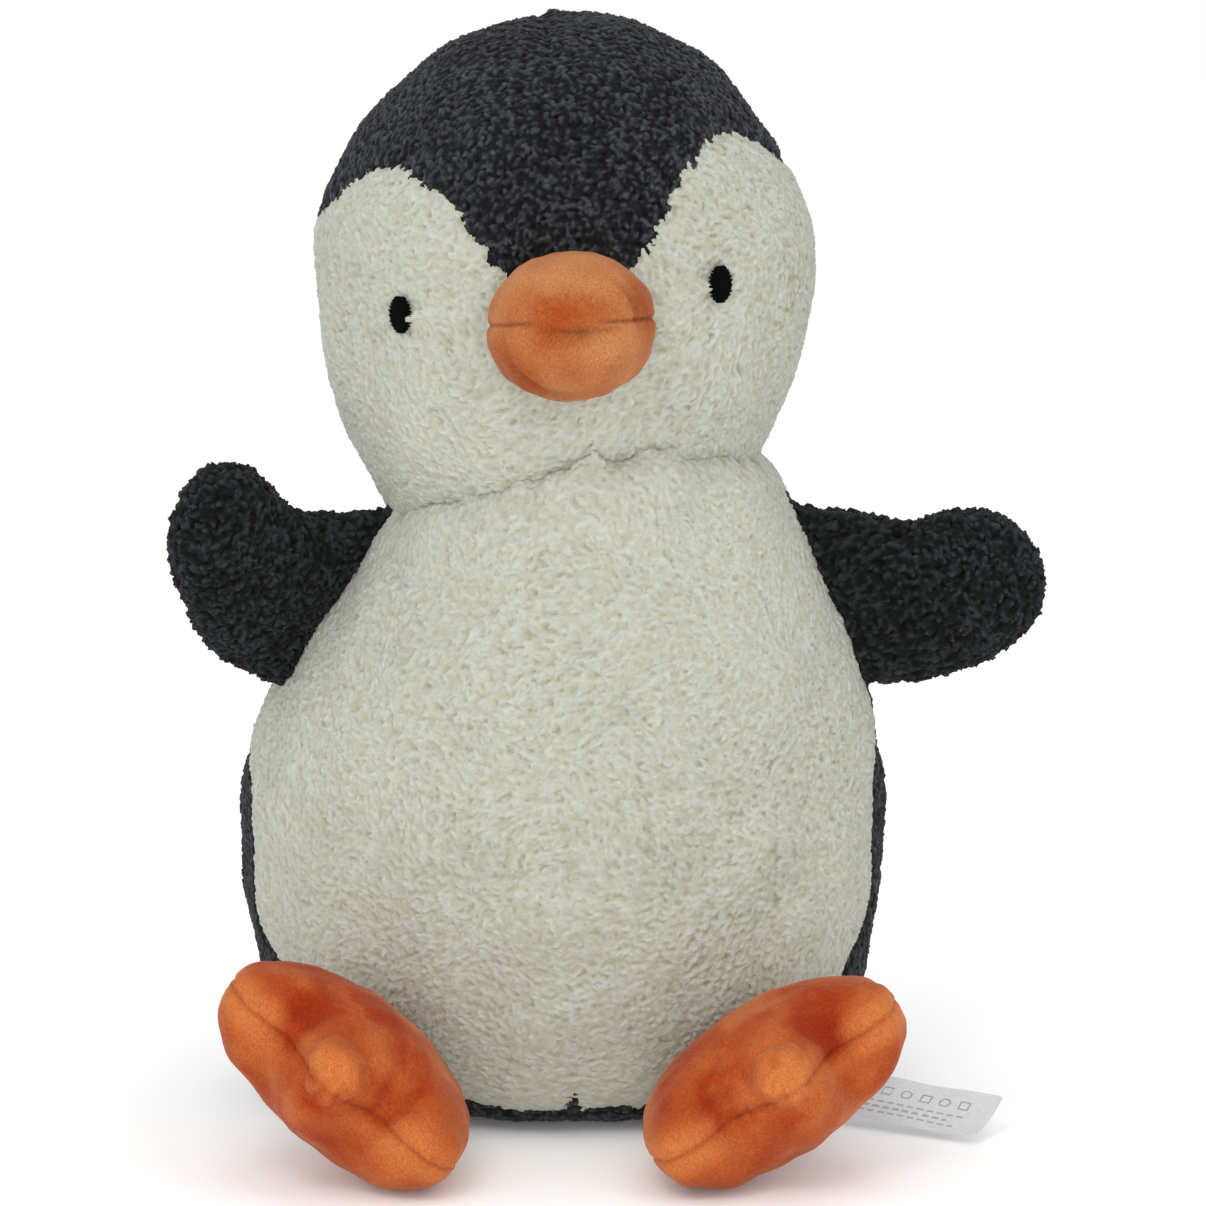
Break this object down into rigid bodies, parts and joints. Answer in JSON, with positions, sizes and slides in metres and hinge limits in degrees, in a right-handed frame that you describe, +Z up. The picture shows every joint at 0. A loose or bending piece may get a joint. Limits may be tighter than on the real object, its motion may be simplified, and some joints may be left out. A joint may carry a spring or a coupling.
{
  "type": "plush penguin",
  "caption": "Seated stuffed penguin of dark and white fleece with an orange beak and webbed feet, sewn from panels over fibre fill.",
  "frame": {"origin": "on the floor under the middle of the seat panel, midway between the sides", "axes": "+Z up, the penguin faces -Y, +X is on the right when it is seen from the front"},
  "size_m": [0.2654, 0.2181, 0.3315],
  "materials": {
    "white_fleece": "curly polyester fleece, ivory",
    "dark_fleece": "curly polyester fleece, charcoal",
    "orange_plush": "short-pile plush, orange, with a nap",
    "black_thread": "black sewing and embroidery thread",
    "white_satin": "white satin ribbon with plain grey marks",
    "fibre_fill": "white polyester fibre fill",
    "pellets": "plastic pellets in a cloth pouch"
  },
  "bodies": {
    "torso": {"belly_panel": "white_fleece", "back_left": "dark_fleece", "back_right": "dark_fleece", "seat_panel": "dark_fleece", "torso_stuffing": "fibre_fill", "pellet_bag": "pellets", "back_closing_thread": "black_thread"},
    "neck": {"neck_stuffing": "fibre_fill"},
    "neck_seam": {"neck_thread": "black_thread"},
    "head": {"face_left": "white_fleece", "face_right": "white_fleece", "crown_left": "dark_fleece", "crown_right": "dark_fleece", "head_back_left": "dark_fleece", "head_back_right": "dark_fleece", "head_stuffing": "fibre_fill", "beak_upper": "orange_plush", "beak_lower": "orange_plush", "beak_stuffing": "fibre_fill", "eye_left": "black_thread", "eye_right": "black_thread"},
    "flipper_left": {"flipper_left_front": "dark_fleece", "flipper_left_back": "dark_fleece", "flipper_left_stuffing": "fibre_fill"},
    "flipper_right": {"flipper_right_front": "dark_fleece", "flipper_right_back": "dark_fleece", "flipper_right_stuffing": "fibre_fill"},
    "foot_left": {"foot_left_top": "orange_plush", "foot_left_sole": "orange_plush", "foot_left_stuffing": "fibre_fill"},
    "foot_right": {"foot_right_top": "orange_plush", "foot_right_sole": "orange_plush", "foot_right_stuffing": "fibre_fill"},
    "label": {"care_label": "white_satin"}
  },
  "joints": [
    {"name": "head_tilt", "type": "hinge", "parent": "torso", "child": "neck", "pos_m": [-0.002, 0, 0.2215], "axis": [0, 1, 0], "range_deg": [-10, 6], "stiffness_Nm_per_rad": 0.4},
    {"name": "head_nod", "type": "hinge", "parent": "neck", "child": "neck_seam", "pos_m": [-0.002, 0, 0.2215], "axis": [1, 0, 0], "range_deg": [-8, 8], "stiffness_Nm_per_rad": 0.4},
    {"name": "head_turn", "type": "hinge", "parent": "neck_seam", "child": "head", "pos_m": [-0.002, 0, 0.2215], "axis": [-0.0958, 0, 0.9954], "range_deg": [-22, 22], "stiffness_Nm_per_rad": 0.1},
    {"name": "flipper_left_swing", "type": "hinge", "parent": "torso", "child": "flipper_left", "pos_m": [-0.0725, -0.008, 0.151], "axis": [0.5446, 0, 0.8387], "range_deg": [-70, 10], "stiffness_Nm_per_rad": 0.02},
    {"name": "flipper_right_swing", "type": "hinge", "parent": "torso", "child": "flipper_right", "pos_m": [0.081, -0.008, 0.157], "axis": [-0.4067, 0, 0.9135], "range_deg": [-40, 35], "stiffness_Nm_per_rad": 0.02},
    {"name": "foot_left_flex", "type": "hinge", "parent": "torso", "child": "foot_left", "pos_m": [-0.051, -0.064, 0.02942], "axis": [0.7557, -0.2295, -0.6133], "range_deg": [-12, 35], "stiffness_Nm_per_rad": 0.06},
    {"name": "foot_right_flex", "type": "hinge", "parent": "torso", "child": "foot_right", "pos_m": [0.049, -0.064, 0.0275], "axis": [0.8251, 0.2366, 0.5131], "range_deg": [-12, 35], "stiffness_Nm_per_rad": 0.06},
    {"name": "label_swing", "type": "hinge", "parent": "torso", "child": "label", "pos_m": [0.067, -0.03, 0.0098], "axis": [0, 0, 1], "range_deg": [-20, 15], "stiffness_Nm_per_rad": 0.0004}
  ]
}
